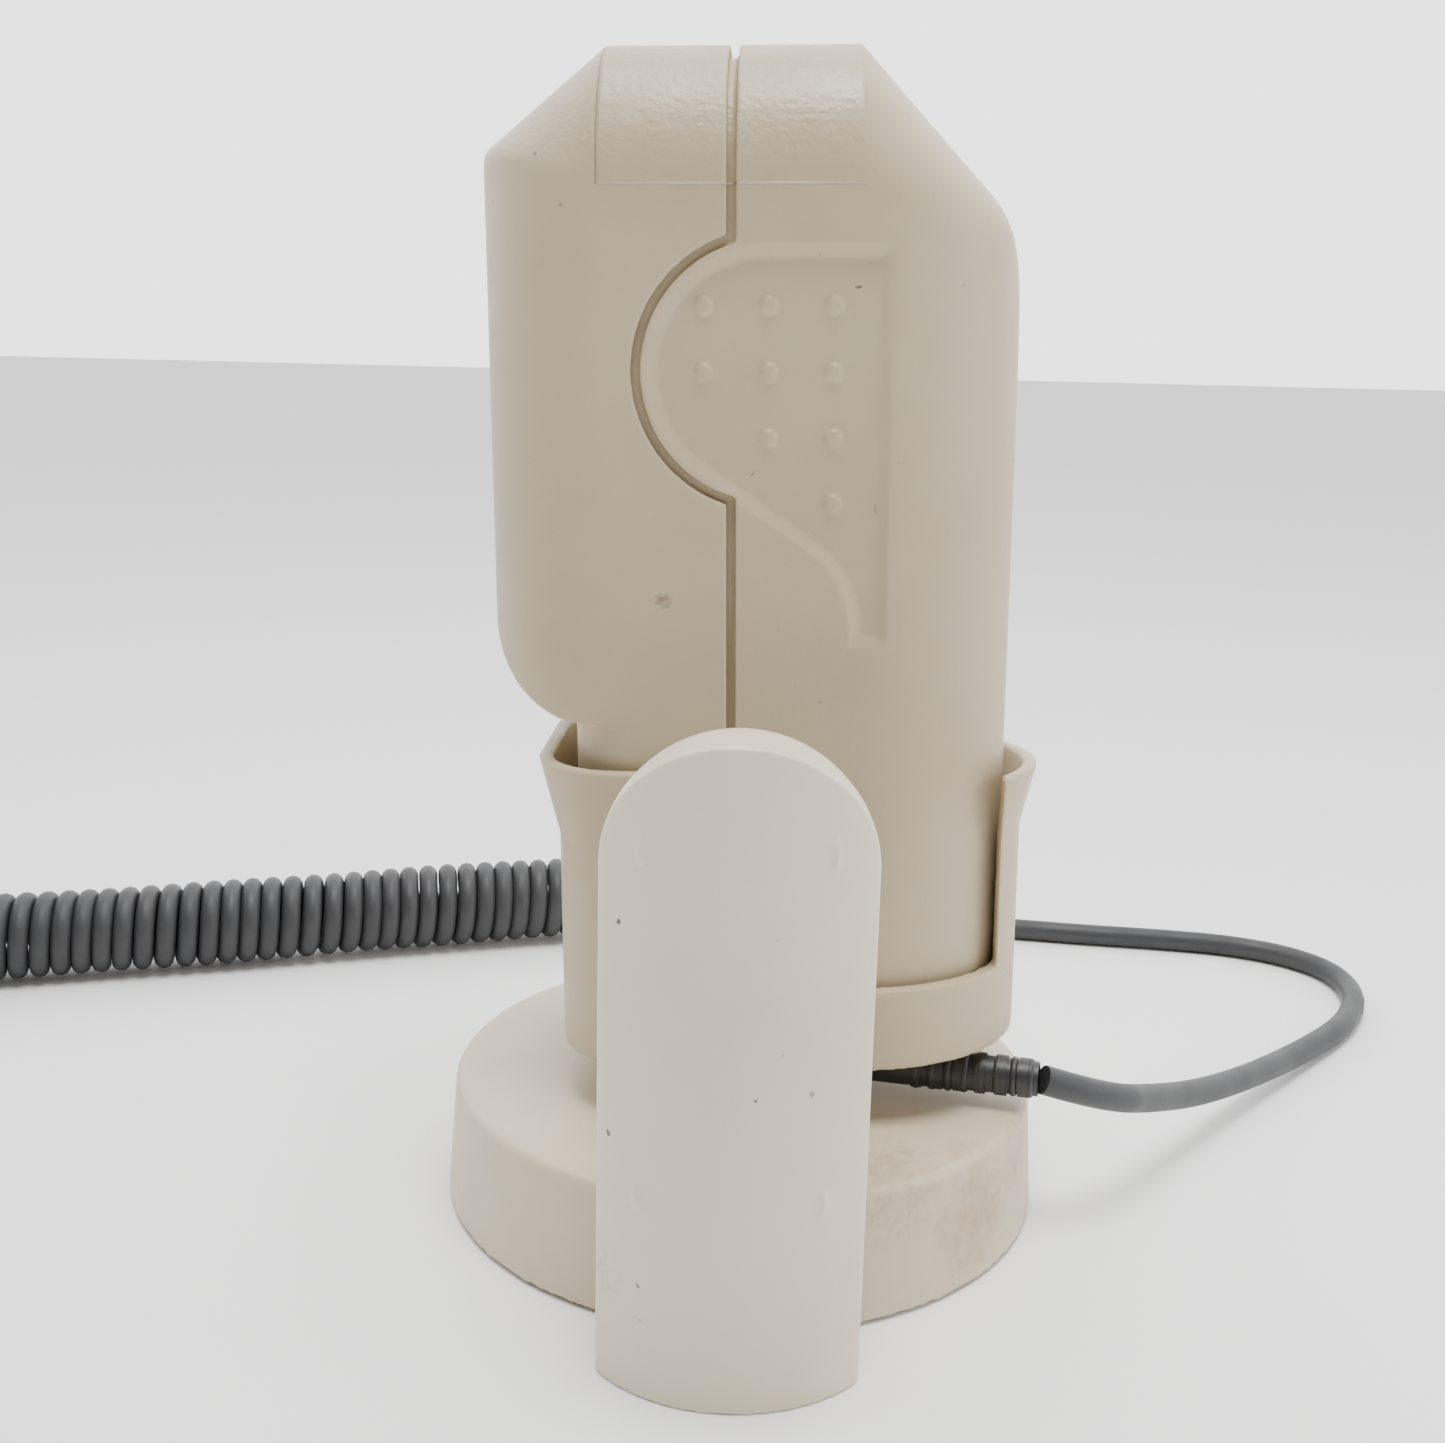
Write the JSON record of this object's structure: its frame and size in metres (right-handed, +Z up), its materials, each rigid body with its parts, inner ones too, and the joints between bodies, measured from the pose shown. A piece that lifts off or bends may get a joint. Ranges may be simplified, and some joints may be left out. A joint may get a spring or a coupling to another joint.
{
  "type": "hair dryer",
  "caption": "Upright brick-shaped hair dryer resting in the tilting cup of a weighted disc desk stand, with a coiled mains lead.",
  "frame": {"origin": "middle of the stand's base disc, on the table", "axes": "+Z up, -Y towards the upright's bowed face, +X to the side where the lead leaves the stand"},
  "size_m": [0.456, 0.2786, 0.2444],
  "materials": {
    "beige_plastic": "warm beige moulded ABS with a fine spark-eroded grain, yellowed a little with age",
    "grille_plastic": "darker beige moulded plastic, fine grain",
    "frame_plastic": "dark grey moulded nylon, plain",
    "fan_plastic": "black glass-filled nylon",
    "bush_plastic": "natural acetal, slightly glossy",
    "guard_plastic": "black soft moulded PVC with ribs",
    "lead_sheath": "dark grey matt sheath",
    "plug_plastic": "dark grey moulded PVC",
    "terminal_plastic": "off-white terminal moulding",
    "capacitor_plastic": "yellow box capacitor",
    "circuit_board": "brown paper phenolic board",
    "mica_board": "pale gold mica sheet with silvery flecks",
    "filter_mesh": "fine grey nylon mesh",
    "black_rubber": "matt black rubber",
    "zinc_steel": "zinc plated steel sheet",
    "spring_steel": "ground steel",
    "screw_steel": "zinc plated steel",
    "cast_iron": "rough cast iron, painted black",
    "bronze": "sintered bronze",
    "brass_pins": "nickelled brass",
    "heating_wire": "dull nickel chrome wire",
    "fuse_metal": "tinned metal can"
  },
  "bodies": {
    "stand": {"base_shell": "beige_plastic", "base_plate": "zinc_steel", "ballast_weight": "cast_iron", "rubber_pad": "black_rubber", "base_screws": "screw_steel", "upright_cover": "beige_plastic", "upright_frame": "frame_plastic", "upright_screws": "screw_steel", "pivot_bush": "bush_plastic", "cord_lead": "lead_sheath", "cord_coil": "lead_sheath", "cord_tail": "lead_sheath", "plug_guard": "plug_plastic", "mains_plug": "plug_plastic", "plug_pins": "brass_pins"},
    "holder": {"holder_cup": "beige_plastic", "pivot_pin": "zinc_steel", "friction_washer": "spring_steel", "pivot_nut": "zinc_steel", "cord_guard": "guard_plastic"},
    "dryer": {"left_shell": "beige_plastic", "right_shell": "beige_plastic", "outlet_grille": "grille_plastic", "inlet_grille": "beige_plastic", "lint_filter": "filter_mesh", "fan_housing": "frame_plastic", "motor": "zinc_steel", "motor_bearings": "bronze", "motor_mount": "black_rubber", "heater_frame": "mica_board", "heater_coils": "heating_wire", "thermostat": "zinc_steel", "thermal_fuse": "fuse_metal", "control_board": "circuit_board", "capacitor": "capacitor_plastic", "power_switch": "frame_plastic", "cool_switch": "frame_plastic", "terminal_block": "terminal_plastic", "cord_clamp": "frame_plastic", "cord_neck": "lead_sheath", "shell_screws": "screw_steel"},
    "fan": {"fan_wheel": "fan_plastic", "motor_shaft": "spring_steel"},
    "switch_key": {"switch_slider": "grille_plastic"},
    "cool_key": {"cool_button": "grille_plastic"}
  },
  "joints": [
    {"name": "holder_tilt", "type": "hinge", "parent": "stand", "child": "holder", "pos_m": [0, -0.055, 0.077], "axis": [0, 1, 0], "range_deg": [-8, 2.5], "deforming": ["cord_lead", "cord_guard"]},
    {"name": "dryer_lift", "type": "slide", "parent": "holder", "child": "dryer", "axis": [-0.0227, 0, 0.9997], "range_m": [0, 0.09], "deforming": ["cord_neck"]},
    {"name": "fan_spin", "type": "hinge", "parent": "dryer", "child": "fan", "pos_m": [0.00203, 0, 0.18157], "axis": [0, 1, 0], "continuous": true},
    {"name": "power_slide", "type": "slide", "parent": "dryer", "child": "switch_key", "axis": [-0.0227, 0, 0.9997], "range_m": [0, 0.008]},
    {"name": "cool_press", "type": "slide", "parent": "dryer", "child": "cool_key", "axis": [0, -1, 0], "range_m": [0, 0.0015], "stiffness_N_per_m": 600, "springref_m": -0.001}
  ]
}
